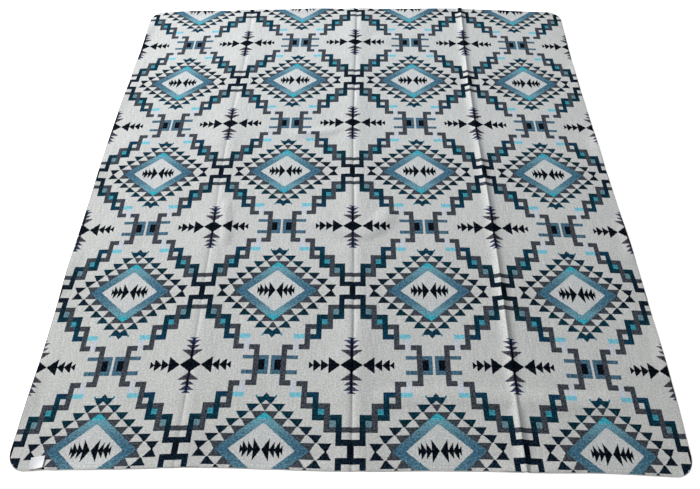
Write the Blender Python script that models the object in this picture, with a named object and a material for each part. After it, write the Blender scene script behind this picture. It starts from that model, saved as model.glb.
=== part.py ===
"""Woven blanket spread out on a floor, with its fold creases and a small label sewn on one corner.

Metres, +Z up. The origin is on the floor under the middle of the blanket, and +Y runs to its far end.
Cloth coordinates are places on the flat cut cloth, before it is laid out a little unevenly.
"""

from collections import namedtuple

import bmesh
import bpy
import numpy as np

# The cloth as it was cut
WIDTH = 2.08
LENGTH = 2.33
THICKNESS = 0.003
CORNER_RADIUS = 0.066
HALF_WIDTH = WIDTH / 2
HALF_LENGTH = LENGTH / 2

# How unevenly it lies: rows bow towards the near end at the sides, and the sides are gathered in a little
FAR_BOW = 0.045
NEAR_BOW = 0.013
SIDE_GATHER = 0.0435

# The edges wander: the sides along their whole length, and the near edge over a band of this width
SIDE_WAVE = 0.003
SIDE_WAVE_LENGTH = 0.9
SIDE_WAVE_POWER = 9
NEAR_WAVE = 0.004
NEAR_WAVE_LENGTH = 1.1
NEAR_WAVE_BAND = 0.2

# The hem lifts off the floor in places
HEM_LIFT = 0.004
HEM_LIFT_BAND = 0.05
HEM_LIFT_WAVE_LENGTH = 0.62
HEM_LIFT_SLANT = 1.3

# The mesh: even pitch between creases, finer across them, at the hem and round the corners
COLUMN_PITCH = 0.104
ROW_PITCH = 0.1165
CREASE_STEPS = (-1.0, -0.6, -0.3, 0.0, 0.3, 0.6, 1.0)
HEM_STEPS = (0.5, 1.0)
CORNER_STEPS = 4
CORNER_BAND = 0.2
SMALLEST_STEP = 0.008
SHARP_ANGLE = np.radians(40)

# The label, turned a little, with its right edge curled up
LABEL_WIDTH = 0.044
LABEL_LENGTH = 0.037
LABEL_THICKNESS = 0.001
LABEL_TURN = np.radians(8)
LABEL_PLACE = (-0.940, -1.140)
LABEL_CURL = 0.002
LABEL_GAP = 0.0003
LABEL_STEPS = 4

# A crease runs along one direction of the cloth, at a place on the other, between two ends. Its line
# drifts from side to side. Heights and widths differ, as the folds of a stored blanket do.
Crease = namedtuple("Crease", "name runs place start end height half_width shape drift")
CREASES = (
    Crease("left fold", "lengthwise", -0.520, -1.30, 1.30, 0.0035, 0.075, "trough", 0.005),
    Crease("middle fold", "lengthwise", 0.000, -1.30, 1.30, 0.0050, 0.075, "trough", 0.003),
    Crease("right fold", "lengthwise", 0.520, -1.30, 1.30, 0.0095, 0.055, "ridge", 0.006),
    Crease("far pucker", "crosswise", 0.280, -0.30, 0.02, 0.0040, 0.045, "ridge", 0.030),
    Crease("middle pucker", "crosswise", -0.300, -0.20, 0.26, 0.0045, 0.060, "ridge", 0.040),
    Crease("left dimple", "crosswise", -0.235, -0.66, -0.38, 0.0040, 0.050, "ridge", 0.010),
    Crease("near fold", "crosswise", -0.940, 0.02, 0.90, 0.0035, 0.050, "ridge", 0.006),
)
CREASE_END = 0.12
DRIFT_WAVE_LENGTH = 0.8
HEIGHT_WAVE = 0.25
HEIGHT_WAVE_LENGTH = 0.57
HEIGHT_WAVE_SHIFT = 9.0

WOOL_COLOUR = (0.62, 0.62, 0.60, 1.0)
WOOL_ROUGHNESS = 0.9
LABEL_COLOUR = (0.86, 0.86, 0.85, 1.0)
LABEL_ROUGHNESS = 0.7


def clear_scene():
    """Remove every object that the scene starts with."""
    for item in list(bpy.data.objects):
        bpy.data.objects.remove(item, do_unlink=True)


def cloth_material(name, colour, roughness):
    """A matt fabric of one colour."""
    material = bpy.data.materials.new(name)
    material.use_nodes = True
    shader = material.node_tree.nodes["Principled BSDF"]
    shader.inputs["Base Color"].default_value = colour
    shader.inputs["Roughness"].default_value = roughness
    shader.inputs["Metallic"].default_value = 0.0
    return material


def ease(x):
    """Smooth step from 0 at x = 0 to 1 at x = 1."""
    x = np.clip(x, 0, 1)
    return x * x * (3 - 2 * x)


def turns(distance, wave_length):
    """Angle of a wave at a distance along it."""
    return 2 * np.pi * distance / wave_length


def ridge(q):
    """Soft ridge: 1 on its line, level with the floor from q = 1 outwards."""
    return np.where(q < 1, (1 - q**2) ** 2, 0)


def trough(q):
    """Fold line down at the floor, between two shoulders that peak at 1 a third of the way out."""
    return np.where(q < 1, 27 / 4 * q * (1 - q) ** 2, 0)


SHAPES = {"ridge": ridge, "trough": trough}


def crease_height(crease, x, y):
    """Height that one crease gives each place of the cloth."""
    along, across = (y, x) if crease.runs == "lengthwise" else (x, y)
    line = crease.place + crease.drift * np.sin(turns(along, DRIFT_WAVE_LENGTH) + crease.place)
    q = np.abs(across - line) / crease.half_width
    ends = ease((along - crease.start) / CREASE_END) * ease((crease.end - along) / CREASE_END)
    wave = np.sin(turns(along, HEIGHT_WAVE_LENGTH) + HEIGHT_WAVE_SHIFT * crease.place)
    return crease.height * (1 - HEIGHT_WAVE * (1 + wave) / 2) * ends * SHAPES[crease.shape](q)


def hem_height(x, y):
    """Lift of the hem along the four edges, in waves, and none at the label's corner."""
    inside = np.minimum(HALF_WIDTH - np.abs(x), HALF_LENGTH - np.abs(y))
    wave = np.clip(np.sin(turns(x - HEM_LIFT_SLANT * y, HEM_LIFT_WAVE_LENGTH)), 0, 1)
    from_label = np.hypot(x - LABEL_PLACE[0], y - LABEL_PLACE[1])
    clear_of_label = ease((from_label - LABEL_WIDTH) / LABEL_WIDTH)
    return HEM_LIFT * wave * ease(1 - inside / HEM_LIFT_BAND) * clear_of_label


def underside_height(x, y):
    """Height of the cloth's underside: 0 where it lies flat, and the highest crease elsewhere."""
    height = hem_height(x, y)
    for crease in CREASES:
        height = np.maximum(height, crease_height(crease, x, y))
    return height


def laid_out(x, y):
    """Place on the floor of each place of the cut cloth.

    The sides are gathered in, the rows bow towards the near end, and the edges wander a little.
    """
    side = x / HALF_WIDTH
    end = y / HALF_LENGTH
    side_wave = SIDE_WAVE * side**SIDE_WAVE_POWER * np.sin(turns(y, SIDE_WAVE_LENGTH))
    near_band = ease(1 - (y + HALF_LENGTH) / NEAR_WAVE_BAND)
    near_wave = NEAR_WAVE * near_band * np.cos(turns(x, NEAR_WAVE_LENGTH))
    bow = NEAR_BOW + (FAR_BOW - NEAR_BOW) * (end + 1) / 2
    return x * (1 + SIDE_GATHER * (1 - side**2)) + side_wave, y - bow * side**2 - near_wave


def with_round_corners(x, y):
    """Pull the outer columns of a full rectangle in, so that the cloth's corners are round."""
    past = np.clip(np.abs(y) - (HALF_LENGTH - CORNER_RADIUS), 0, CORNER_RADIUS)
    reach = HALF_WIDTH - CORNER_RADIUS + np.sqrt(CORNER_RADIUS**2 - past**2)
    inner = HALF_WIDTH - CORNER_BAND
    pulled = inner + (np.abs(x) - inner) * (reach - inner) / CORNER_BAND
    return np.where(np.abs(x) > inner, np.sign(x) * pulled, x), y


def corner_rows():
    """Rows of the mesh that share out each corner's arc evenly."""
    angles = np.linspace(0, np.pi / 2, CORNER_STEPS + 1)[:-1]
    return [side * (HALF_LENGTH - CORNER_RADIUS * (1 - np.sin(a))) for side in (-1, 1) for a in angles]


def mesh_lines(half, pitch, runs, more=()):
    """Places of the mesh's lines from -half to half: even, and closer at the creases and the hem."""
    folds = [c.place + c.half_width * s for c in CREASES if c.runs == runs for s in CREASE_STEPS]
    hem = [side * (half - HEM_LIFT_BAND * share) for side in (-1, 1) for share in HEM_STEPS]
    even = np.arange(-half + pitch, half - pitch / 2, pitch)
    clear = [place for place in even if min(abs(place - fold) for fold in folds) > pitch / 4]
    lines = [-half]
    for place in sorted([*clear, *folds, *hem, *more]):
        if place - lines[-1] > SMALLEST_STEP and half - place > SMALLEST_STEP:
            lines.append(place)
    return np.array([*lines, half])


def blanket_grid():
    """Cloth coordinates of the blanket's mesh."""
    columns = mesh_lines(HALF_WIDTH, COLUMN_PITCH, "lengthwise")
    rows = mesh_lines(HALF_LENGTH, ROW_PITCH, "crosswise", corner_rows())
    return with_round_corners(*np.meshgrid(columns, rows))


def on_floor(x, y, height):
    """Points at a height over places of the cloth, measured from the middle of the laid-out blanket."""
    edge_x, edge_y = laid_out(*blanket_grid())
    floor_x, floor_y = laid_out(x, y)
    middle_x = (edge_x.min() + edge_x.max()) / 2
    middle_y = (edge_y.min() + edge_y.max()) / 2
    return np.stack([floor_x - middle_x, floor_y - middle_y, height], axis=-1)


def sheet_object(name, points, thickness, material):
    """Sheet over a grid of points, which its thickness rises from."""
    rows, columns = points.shape[:2]
    builder = bmesh.new()
    corners = [builder.verts.new(point) for point in points.reshape(-1, 3).tolist()]
    for row in range(rows - 1):
        for column in range(columns - 1):
            first = row * columns + column
            above = first + columns
            builder.faces.new([corners[i] for i in (first, first + 1, above + 1, above)])
    mesh = bpy.data.meshes.new(name)
    builder.to_mesh(mesh)
    builder.free()
    mesh.materials.append(material)
    mesh.shade_smooth()
    mesh.set_sharp_from_angle(angle=SHARP_ANGLE)
    item = bpy.data.objects.new(name, mesh)
    bpy.context.collection.objects.link(item)
    solidify = item.modifiers.new("Cloth thickness", "SOLIDIFY")
    solidify.thickness = thickness
    solidify.offset = 1.0
    solidify.use_even_offset = True


def build_blanket():
    """The woven panel with its hem, creased and laid out."""
    x, y = blanket_grid()
    points = on_floor(x, y, underside_height(x, y))
    sheet_object("blanket", points, THICKNESS, cloth_material("brushed wool", WOOL_COLOUR, WOOL_ROUGHNESS))


def build_label():
    """The small label on the near left corner."""
    steps = np.linspace(-0.5, 0.5, LABEL_STEPS + 1)
    across, along = np.meshgrid(steps, steps)
    turn_cos, turn_sin = np.cos(LABEL_TURN), np.sin(LABEL_TURN)
    x = LABEL_PLACE[0] + across * LABEL_WIDTH * turn_cos - along * LABEL_LENGTH * turn_sin
    y = LABEL_PLACE[1] + across * LABEL_WIDTH * turn_sin + along * LABEL_LENGTH * turn_cos
    height = underside_height(x, y) + THICKNESS + LABEL_GAP + LABEL_CURL * ease(across + 0.5) ** 2
    material = cloth_material("woven label", LABEL_COLOUR, LABEL_ROUGHNESS)
    sheet_object("corner_label", on_floor(x, y, height), LABEL_THICKNESS, material)


clear_scene()
build_blanket()
build_label()
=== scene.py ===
"""Looks of a woven blanket that lies spread out on a floor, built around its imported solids.

Metres, +Z up. Cloth coordinates are places on the flat cut cloth, x across it and y along it from its
middle. The same formulas as in the part's source lay it out on the floor, so the dressed pieces follow
the solids. Chart coordinates are counted in repeats of the woven pattern.
"""

import logging
from dataclasses import dataclass, field
from enum import Enum
from math import radians

import bpy
import numpy as np
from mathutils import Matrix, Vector


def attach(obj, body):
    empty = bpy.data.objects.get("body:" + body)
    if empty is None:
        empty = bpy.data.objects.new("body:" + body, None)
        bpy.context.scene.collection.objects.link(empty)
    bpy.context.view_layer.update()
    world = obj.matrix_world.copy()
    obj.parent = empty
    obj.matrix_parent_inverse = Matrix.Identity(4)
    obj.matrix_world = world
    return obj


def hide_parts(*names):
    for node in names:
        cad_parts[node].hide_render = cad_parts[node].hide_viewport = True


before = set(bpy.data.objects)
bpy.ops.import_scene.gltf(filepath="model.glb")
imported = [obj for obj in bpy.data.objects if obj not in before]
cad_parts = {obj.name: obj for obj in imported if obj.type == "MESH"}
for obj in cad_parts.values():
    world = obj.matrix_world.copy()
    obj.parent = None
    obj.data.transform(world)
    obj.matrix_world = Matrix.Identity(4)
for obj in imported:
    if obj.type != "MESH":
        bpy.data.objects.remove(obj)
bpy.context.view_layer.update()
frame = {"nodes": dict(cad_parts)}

LOG = logging.getLogger("blanket")

WEAVE_MAP = "weave"
BAKE_MAP = "OFBake"

Rgb = tuple[float, float, float]
Point = tuple[float, float, float]
Table = tuple[tuple[float, float], ...]
Array = np.ndarray

TABLE_ROUNDING = np.linspace(-0.07, 0.07, 7)
PEAK_POWER = 2.5
TROUGH_FADE = 0.08
TROUGH_TOP = 0.612


def ease(x: Array) -> Array:
    """Smooth step from 0 at x = 0 to 1 at x = 1."""
    x = np.clip(x, 0, 1)
    return x * x * (3 - 2 * x)


def turns(distance: Array, wave_length: float) -> Array:
    """Angle of a wave at a distance along it."""
    return 2 * np.pi * distance / wave_length


def seen(red: float, green: float, blue: float) -> Rgb:
    """Surface colour of a yarn that looks like this on a screen, in parts of 255, under the main light.

    Args:
        red: Red on the screen, from 0 to 255.
        green: Green.
        blue: Blue.

    Returns:
        The linear colour.
    """
    screen = np.array((red, green, blue)) / 255
    linear = np.where(screen <= 0.04045, screen / 12.92, ((screen + 0.055) / 1.055) ** 2.4)
    return tuple(float(part) for part in linear)


def read_table(place: Array, table: Table) -> Array:
    """Values that a table of places and values gives, with the table's corners rounded off."""
    places, values = np.array(table).T
    return np.mean([np.interp(place + step, places, values) for step in TABLE_ROUNDING], axis=0)


class Runs(Enum):
    """Direction that a crease runs in."""

    LENGTHWISE = "along the cloth"
    CROSSWISE = "across the cloth"


class CreaseShape(Enum):
    """Cross-section of a crease, from its line at q = 0 to its foot at q = 1."""

    RIDGE = "ridge"
    PEAK = "peak"
    TROUGH = "trough"

    def profile(self, q: Array) -> Array:
        """Share of the crease's height at q.

        A ridge is (1 - q squared) squared, round on top. A peak is (1 - q) to the power 2.5, sharp on
        top. A trough is a line down at the floor between two shoulders: 1 less a quick fade, times
        (1 - q) squared, over its own highest value.

        Args:
            q: Distance from the crease's line, in half widths.

        Returns:
            Height from 0 to 1.
        """
        if self is CreaseShape.RIDGE:
            return np.where(q < 1, (1 - q**2) ** 2, 0)
        if self is CreaseShape.PEAK:
            return np.clip(1 - q, 0, 1) ** PEAK_POWER
        return (1 - np.exp(-q / TROUGH_FADE)) * np.clip(1 - q, 0, 1) ** 2 / TROUGH_TOP


@dataclass(frozen=True)
class Crease:
    """Fold or pucker that runs along one direction of the cloth, at a place on the other.

    Its line drifts from side to side, or strays through places that are given, and its height comes and
    goes. The side after the line may be narrower and lower than the side before it.
    """

    runs: Runs
    place: float
    start: float
    end: float
    height: float
    half_width: float
    shape: CreaseShape
    drift: float
    after_reach: float = 1.0
    after_height: float = 1.0
    strays: Table = ((0.0, 0.0),)
    end_length: float = 0.12
    drift_wave_length: float = 0.8
    height_wave: float = 0.25
    height_wave_length: float = 0.57
    height_wave_shift: float = 9.0

    def raised(self, x: Array, y: Array) -> Array:
        """Height that this crease gives each place of the cloth.

        The profile of the distance from the drifting line, times a wave along the crease, times a smooth
        step at each end.

        Args:
            x: Cloth coordinates across.
            y: Cloth coordinates along.

        Returns:
            Heights in metres.
        """
        along, across = (y, x) if self.runs is Runs.LENGTHWISE else (x, y)
        line = self.place + self.drift * np.sin(turns(along, self.drift_wave_length) + self.place)
        line = line + read_table(along, self.strays)
        reach = self.half_width * np.where(across < line, 1.0, self.after_reach)
        side = np.where(across < line, 1.0, self.after_height)
        ends = ease((along - self.start) / self.end_length) * ease((self.end - along) / self.end_length)
        wave = np.sin(turns(along, self.height_wave_length) + self.height_wave_shift * self.place)
        height = self.height * (1 - self.height_wave * (1 + wave) / 2)
        return height * side * ends * self.shape.profile(np.abs(across - line) / reach)


@dataclass(frozen=True)
class HemCurl:
    """Short stretch of the near hem that curls up off the floor."""

    place: float
    length: float
    lift: float
    depth: float = 0.035

    def raised(self, x: Array, y: Array, half_length: float) -> Array:
        """Lift of the curl: a smooth bump along the hem that fades away from it.

        Args:
            x: Cloth coordinates across.
            y: Cloth coordinates along.
            half_length: Distance of the near hem from the cloth's middle.

        Returns:
            Heights in metres.
        """
        along = ease(1 - np.abs(x - self.place) / (self.length / 2))
        return self.lift * along * ease(1 - (y + half_length) / self.depth)


LEFT_STRAYS = (
    (-0.975, 0.0060), (-0.670, 0.0065), (-0.400, 0.0030), (-0.100, -0.0010),
    (0.170, -0.0040), (0.467, 0.0015), (0.730, 0.0180), (1.030, 0.0165),
)
MIDDLE_STRAYS = (
    (-0.975, 0.0041), (-0.670, 0.0076), (-0.400, 0.0071), (-0.100, 0.0051),
    (0.170, 0.0006), (0.467, 0.0031), (0.730, 0.0086), (1.030, 0.0136),
)
RIGHT_STRAYS = (
    (-0.975, -0.0115), (-0.670, -0.0050), (-0.400, -0.0005), (-0.100, -0.0005),
    (0.170, -0.0060), (0.467, -0.0090), (0.730, -0.0065), (1.030, 0.0040),
)
LENGTHWISE_CREASES = (
    Crease(
        Runs.LENGTHWISE, -0.520, -1.30, 1.30, 0.0028, 0.150, CreaseShape.TROUGH, 0.0, 0.90, 0.95,
        LEFT_STRAYS,
    ),
    Crease(
        Runs.LENGTHWISE, 0.000, -1.30, 1.30, 0.0046, 0.115, CreaseShape.TROUGH, 0.0, 1.10, 0.85,
        MIDDLE_STRAYS,
    ),
    Crease(
        Runs.LENGTHWISE, 0.520, -1.30, 1.30, 0.0102, 0.037, CreaseShape.PEAK, 0.0, 1.0, 1.0,
        RIGHT_STRAYS,
    ),
)
PUCKERS = (
    Crease(Runs.CROSSWISE, 0.280, -0.30, 0.02, 0.0050, 0.036, CreaseShape.RIDGE, 0.030),
    Crease(
        Runs.CROSSWISE, -0.275, -0.19, 0.19, 0.0055, 0.065, CreaseShape.RIDGE, 0.0, 1.6,
        strays=((-0.20, 0.11), (-0.135, 0.060), (0.0, -0.055), (0.135, 0.060), (0.20, 0.11)),
        end_length=0.08,
    ),
    Crease(
        Runs.LENGTHWISE, -0.488, -0.37, -0.08, 0.0065, 0.038, CreaseShape.RIDGE, 0.0,
        strays=((-0.320, 0.026), (-0.140, 0.0)), end_length=0.08,
    ),
    Crease(Runs.CROSSWISE, -0.940, 0.02, 0.90, 0.0035, 0.050, CreaseShape.RIDGE, 0.006),
    Crease(Runs.CROSSWISE, 0.880, 0.00, 0.26, 0.0045, 0.050, CreaseShape.RIDGE, 0.020),
)
LEFT_EDGE = (
    (-1.060, 0.004), (-0.882, -0.002), (-0.703, -0.004), (-0.525, 0.002), (-0.347, 0.012),
    (-0.168, 0.013), (0.010, 0.008), (0.367, 0.008), (0.723, 0.003), (0.902, -0.008), (1.080, -0.010),
)
RIGHT_EDGE = (
    (-1.060, 0.003), (-0.882, 0.001), (-0.703, -0.002), (-0.525, 0.004), (-0.347, 0.010),
    (-0.168, 0.007), (0.010, 0.000), (0.188, -0.006), (0.545, -0.003), (0.723, -0.004), (0.902, 0.000),
)
NEAR_EDGE = (
    (-0.940, -0.002), (-0.836, -0.001), (-0.731, 0.004), (-0.627, 0.003), (-0.418, -0.002),
    (-0.104, 0.003), (0.000, 0.003), (0.209, 0.001), (0.418, 0.005), (0.522, 0.009), (0.627, 0.006),
    (0.731, 0.001),
)
FAR_EDGE = (
    (-1.000, 0.000), (-0.783, -0.009), (-0.470, -0.008), (-0.157, -0.012), (0.000, -0.009),
    (0.313, -0.006), (0.627, 0.001), (0.940, -0.003),
)


@dataclass(frozen=True)
class Lay:
    """The cut cloth and how unevenly it lies on the floor.

    The sides are gathered in a little, the rows bow towards the near end, the edges wander and stray, the
    near right corner is drawn in, and the hem lifts in places.
    """

    width: float = 2.08
    length: float = 2.33
    thickness: float = 0.003
    corner_radius: float = 0.066
    corner_band: float = 0.2
    far_bow: float = 0.045
    near_bow: float = 0.013
    side_gather: float = 0.0435
    side_wave: float = 0.003
    side_wave_length: float = 0.9
    side_wave_power: int = 9
    near_wave: float = 0.004
    near_wave_length: float = 1.1
    near_wave_band: float = 0.2
    hem_lift: float = 0.004
    hem_lift_band: float = 0.05
    hem_lift_wave_length: float = 0.62
    hem_lift_slant: float = 1.3
    flat_hem_place: tuple[float, float] = (-0.940, -1.140)
    flat_hem_reach: float = 0.044
    ripple: float = 0.0006
    ripple_waves: int = 9
    ripple_seed: int = 5
    shortest_ripple: float = 0.11
    longest_ripple: float = 0.34
    stray_band: float = 0.12
    drawn_in: float = 0.010
    drawn_in_from: float = 0.75
    outline_samples: int = 4001
    creases: tuple[Crease, ...] = LENGTHWISE_CREASES + PUCKERS
    hem_curls: tuple[HemCurl, ...] = (HemCurl(-0.905, 0.09, 0.006), HemCurl(-0.69, 0.10, 0.004))

    @property
    def half_width(self) -> float:
        """Half the cut width."""
        return self.width / 2

    @property
    def half_length(self) -> float:
        """Half the cut length."""
        return self.length / 2

    def inset(self, x: Array, y: Array) -> Array:
        """Distance of a place from the cloth's rounded edge, above 0 inside it.

        The distance to a rectangle that is smaller by the corner radius on each side, taken from that
        radius.

        Args:
            x: Cloth coordinates across.
            y: Cloth coordinates along.

        Returns:
            Distances in metres.
        """
        past_x = np.abs(x) - (self.half_width - self.corner_radius)
        past_y = np.abs(y) - (self.half_length - self.corner_radius)
        outside = np.hypot(np.maximum(past_x, 0), np.maximum(past_y, 0))
        return self.corner_radius - outside - np.minimum(np.maximum(past_x, past_y), 0)

    def ripples(self, x: Array, y: Array) -> Array:
        """Soft unevenness of cloth that isn't ironed: a sum of plane waves in seeded directions.

        Args:
            x: Cloth coordinates across.
            y: Cloth coordinates along.

        Returns:
            Heights in metres, 0 or more.
        """
        draw = np.random.default_rng(self.ripple_seed)
        angles = draw.uniform(0, np.pi, self.ripple_waves)
        lengths = draw.uniform(self.shortest_ripple, self.longest_ripple, self.ripple_waves)
        shifts = draw.uniform(0, 2 * np.pi, self.ripple_waves)
        total = np.zeros_like(x)
        for angle, length, shift in zip(angles, lengths, shifts):
            total = total + np.sin(turns(x * np.cos(angle) + y * np.sin(angle), length) + shift)
        return self.ripple * np.clip(1 + total / np.sqrt(self.ripple_waves), 0, None)

    def underside(self, x: Array, y: Array) -> Array:
        """Height of the underside: the highest of the hem's lift and the creases, plus the ripples.

        Args:
            x: Cloth coordinates across.
            y: Cloth coordinates along.

        Returns:
            Heights in metres, 0 on the floor.
        """
        inside = np.minimum(self.half_width - np.abs(x), self.half_length - np.abs(y))
        slanted = turns(x - self.hem_lift_slant * y, self.hem_lift_wave_length)
        wave = np.clip(np.sin(slanted), 0, 1)
        from_label = np.hypot(x - self.flat_hem_place[0], y - self.flat_hem_place[1])
        clear = ease((from_label - self.flat_hem_reach) / self.flat_hem_reach)
        height = self.hem_lift * wave * ease(1 - inside / self.hem_lift_band) * clear
        for crease in self.creases:
            height = np.maximum(height, crease.raised(x, y))
        for curl in self.hem_curls:
            height = np.maximum(height, curl.raised(x, y, self.half_length))
        return height + self.ripples(x, y)

    def strayed(self, x: Array, y: Array) -> tuple[Array, Array]:
        """Places of the cloth, moved near its edges by how far each edge strays outwards.

        An edge moves by all of its table's value, and the cloth inside the band's width not at all.

        Args:
            x: Cloth coordinates across.
            y: Cloth coordinates along.

        Returns:
            The moved cloth coordinates.
        """
        to_side = ease(1 - (self.half_width - np.abs(x)) / self.stray_band)
        to_end = ease(1 - (self.half_length - np.abs(y)) / self.stray_band)
        sideways = np.where(x > 0, read_table(y, RIGHT_EDGE), -read_table(y, LEFT_EDGE))
        endways = np.where(y > 0, read_table(x, FAR_EDGE), -read_table(x, NEAR_EDGE))
        return x + to_side * sideways, y + to_end * endways

    def laid_out(self, x: Array, y: Array) -> tuple[Array, Array]:
        """Place on the floor of each place of the cloth, before it strays or is centred.

        Gather: x grows by side_gather times (1 - side squared). Bow: y falls by the bow times side
        squared. The side edges and the near edge wander in sine waves, and the near right corner is drawn
        in a little.

        Args:
            x: Cloth coordinates across.
            y: Cloth coordinates along.

        Returns:
            Places across and along the floor.
        """
        side = x / self.half_width
        end = y / self.half_length
        side_wave = self.side_wave * side**self.side_wave_power * np.sin(turns(y, self.side_wave_length))
        near_band = ease(1 - (y + self.half_length) / self.near_wave_band)
        near_wave = self.near_wave * near_band * np.cos(turns(x, self.near_wave_length))
        bow = self.near_bow + (self.far_bow - self.near_bow) * (end + 1) / 2
        band = 1 - self.drawn_in_from
        to_corner = ease((side - self.drawn_in_from) / band) * ease((-end - self.drawn_in_from) / band)
        floor_x = x * (1 + self.side_gather * (1 - side**2)) + side_wave - self.drawn_in * to_corner
        return floor_x, y - bow * side**2 - near_wave

    def with_round_corners(self, x: Array, y: Array) -> tuple[Array, Array]:
        """Pull the outer columns of a full rectangle in, so that the cloth's corners are round.

        Args:
            x: Cloth coordinates across.
            y: Cloth coordinates along.

        Returns:
            Cloth coordinates inside the round corners.
        """
        radius = self.corner_radius
        past = np.clip(np.abs(y) - (self.half_length - radius), 0, radius)
        reach = self.half_width - radius + np.sqrt(radius**2 - past**2)
        inner = self.half_width - self.corner_band
        pulled = inner + (np.abs(x) - inner) * (reach - inner) / self.corner_band
        return np.where(np.abs(x) > inner, np.sign(x) * pulled, x), y

    def middle(self) -> tuple[float, float]:
        """Middle of the laid-out cloth's box, worked out along its edge as it is before it strays.

        Returns:
            Middle across and along the floor.
        """
        edge = EdgePath(self)
        x, y = self.laid_out(*edge.places(np.linspace(0, edge.length, self.outline_samples), 0.0))
        return (x.min() + x.max()) / 2, (y.min() + y.max()) / 2

    def on_floor(self, x: Array, y: Array, height: Array) -> Array:
        """Points at a height over places of the cloth.

        Args:
            x: Cloth coordinates across.
            y: Cloth coordinates along.
            height: Heights over the floor.

        Returns:
            Points, with a last axis of three, measured from the middle of the laid-out cloth.
        """
        floor_x, floor_y = self.laid_out(*self.strayed(x, y))
        middle_x, middle_y = self.middle()
        return np.stack([floor_x - middle_x, floor_y - middle_y, height], axis=-1)


class EdgePath:
    """The cloth's rounded rectangle, walked once round from the near end of its right side."""

    def __init__(self, lay: Lay) -> None:
        """Stations where a straight side or an arc starts, each with its arc's centre and direction.

        Args:
            lay: The cloth.
        """
        across = lay.half_width - lay.corner_radius
        along = lay.half_length - lay.corner_radius
        arc = np.pi / 2 * lay.corner_radius
        runs = np.array((2 * along, arc, 2 * across, arc, 2 * along, arc, 2 * across, arc))
        quarter = np.pi / 2
        self.radius = lay.corner_radius
        self.starts = np.concatenate(([0], np.cumsum(runs)))
        self.centre_x = across * np.array((1, 1, 1, -1, -1, -1, -1, 1, 1))
        self.centre_y = along * np.array((-1, 1, 1, 1, 1, -1, -1, -1, -1))
        self.angles = quarter * np.array((0, 0, 1, 1, 2, 2, 3, 3, 4))

    @property
    def length(self) -> float:
        """Length of the whole edge."""
        return float(self.starts[-1])

    def places(self, distance: Array, outwards: Array) -> tuple[Array, Array]:
        """Cloth coordinates at a distance along the edge, and a little outwards from it.

        The arc's centre plus the corner radius in the outward direction. Centre and direction both run
        straight between stations.

        Args:
            distance: Distances along the edge.
            outwards: Distances outwards from it.

        Returns:
            Cloth coordinates across and along.
        """
        angle = np.interp(distance, self.starts, self.angles)
        reach = self.radius + outwards
        x = np.interp(distance, self.starts, self.centre_x) + reach * np.cos(angle)
        y = np.interp(distance, self.starts, self.centre_y) + reach * np.sin(angle)
        return x, y


@dataclass
class Surface:
    """Grid of points with its texture places, which becomes one mesh object."""

    points: Array
    weave: Array
    bake: Array
    closed: bool = False
    facing_down: bool = False

    def build(self, name: str, material: bpy.types.Material) -> bpy.types.Object:
        """Make the mesh: a four-sided face between each pair of rows and each pair of columns.

        Args:
            name: Name of the object.
            material: Its finish.

        Returns:
            The new object, with the texture maps that its finish and its bake read.
        """
        rows, columns = self.points.shape[:2]
        row, column = np.meshgrid(np.arange(rows - 1), np.arange(columns - 1 + self.closed), indexing="ij")
        row_steps, column_steps = np.array((0, 0, 1, 1)), np.array((0, 1, 1, 0))
        if self.facing_down:
            row_steps, column_steps = row_steps[::-1], column_steps[::-1]
        corner_rows = row.reshape(-1, 1) + row_steps
        corner_columns = column.reshape(-1, 1) + column_steps
        corners = corner_rows * columns + corner_columns % columns
        mesh = bpy.data.meshes.new(name)
        mesh.from_pydata(self.points.reshape(-1, 3), [], corners)
        for map_name, places in ((WEAVE_MAP, self.weave), (BAKE_MAP, self.bake)):
            layer = mesh.uv_layers.new(name=map_name)
            layer.uv.foreach_set("vector", places[corner_rows, corner_columns].astype(np.float32).ravel())
        mesh.materials.append(material)
        mesh.shade_smooth()
        item = bpy.data.objects.new(name, mesh)
        bpy.context.collection.objects.link(item)
        return item


class Wire:
    """One number of a shader, with the arithmetic that woven patterns are written in."""

    def __init__(self, socket: bpy.types.NodeSocket) -> None:
        """Wrap an output socket."""
        self.socket = socket

    def math(self, operation: str, *others: "Wire | float") -> "Wire":
        """Result of a Math node on this number and the others.

        Args:
            operation: Name of the operation.
            others: The other numbers.

        Returns:
            The result.
        """
        node = self.socket.id_data.nodes.new("ShaderNodeMath")
        node.operation = operation
        for socket, value in zip(node.inputs, (self, *others)):
            feed(socket, value)
        return Wire(node.outputs[0])

    def __add__(self, other: "Wire | float") -> "Wire":
        """Sum."""
        return self.math("ADD", other)

    def __sub__(self, other: "Wire | float") -> "Wire":
        """Difference."""
        return self.math("SUBTRACT", other)

    def __rsub__(self, other: float) -> "Wire":
        """Difference from a plain number."""
        return (self * -1.0) + other

    def __mul__(self, other: "Wire | float") -> "Wire":
        """Product, which is also both of two masks."""
        return self.math("MULTIPLY", other)

    def __truediv__(self, other: float) -> "Wire":
        """Quotient by a plain number."""
        return self.math("MULTIPLY", 1.0 / other)

    def __lt__(self, other: "Wire | float") -> "Wire":
        """1 where this is under the other."""
        return self.math("LESS_THAN", other)

    def __gt__(self, other: "Wire | float") -> "Wire":
        """1 where this is over the other."""
        return self.math("GREATER_THAN", other)

    def __or__(self, other: "Wire") -> "Wire":
        """Either of two masks."""
        return self.math("MAXIMUM", other)

    def between(self, low: float, high: float) -> "Wire":
        """1 where this lies from low to high."""
        return self.math("COMPARE", (low + high) / 2, (high - low) / 2)

    def fraction(self) -> "Wire":
        """Part after the point, from 0 to 1 below nought too."""
        return self.math("FRACT")

    def whole(self) -> "Wire":
        """Part before the point, rounded down."""
        return self.math("FLOOR")

    def size(self) -> "Wire":
        """Without its sign."""
        return self.math("ABSOLUTE")

    def sine(self) -> "Wire":
        """Sine of an angle in radians."""
        return self.math("SINE")


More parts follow.
